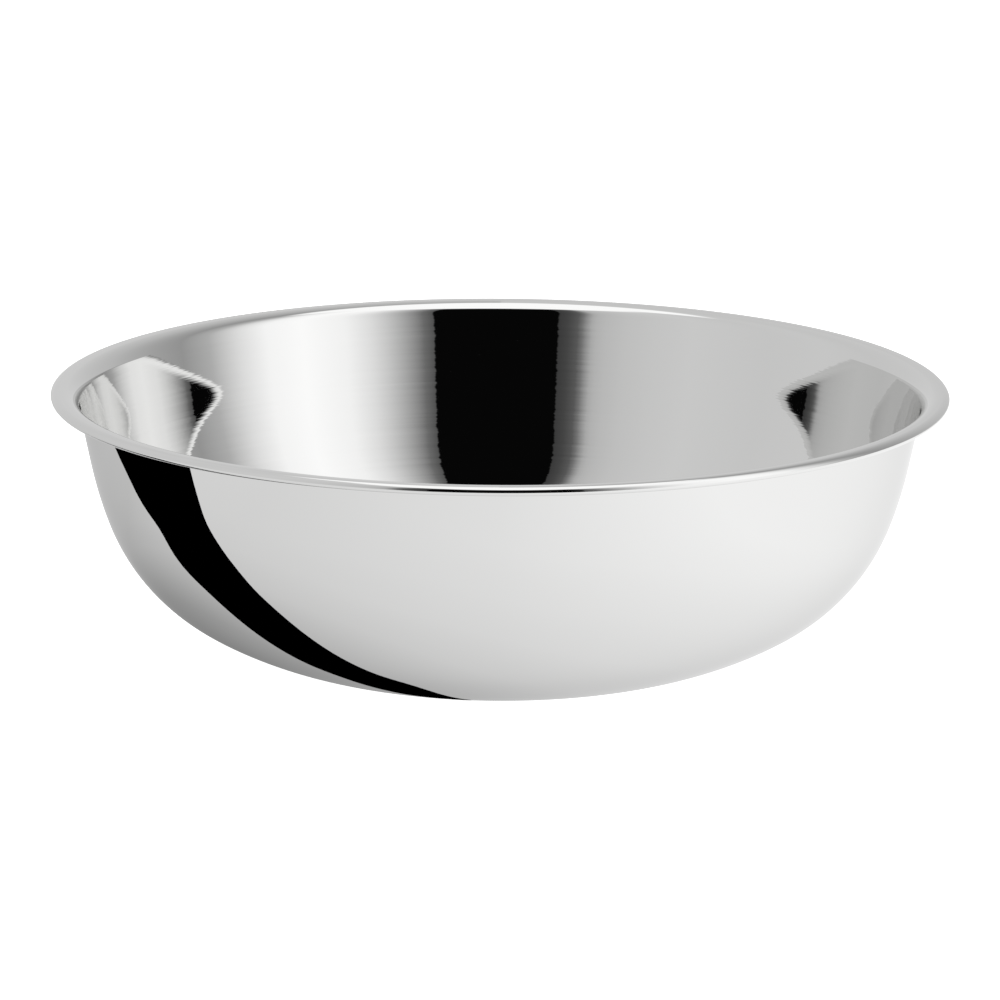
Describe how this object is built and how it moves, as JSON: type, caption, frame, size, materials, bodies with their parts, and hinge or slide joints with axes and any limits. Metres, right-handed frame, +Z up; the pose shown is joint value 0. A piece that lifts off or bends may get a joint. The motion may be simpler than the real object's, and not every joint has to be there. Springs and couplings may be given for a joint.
{
  "type": "mixing bowl",
  "caption": "Wide round steel mixing bowl with a small flat base, rounded sides that rise to a steep straight wall, and a narrow flange with its edge rolled under.",
  "frame": {"origin": "centre of the flat base's underside, on the surface the bowl stands on", "axes": "+Z up along the bowl's axis of revolution, towards the open mouth; X and Y are any two directions across it"},
  "size_m": [0.45, 0.45, 0.14],
  "materials": {
    "stainless_steel": "stainless steel, mirror polished outside, fine turned polishing lines inside, satin flange"
  },
  "bodies": {
    "root": {"bowl_shell": "stainless_steel"}
  },
  "joints": []
}
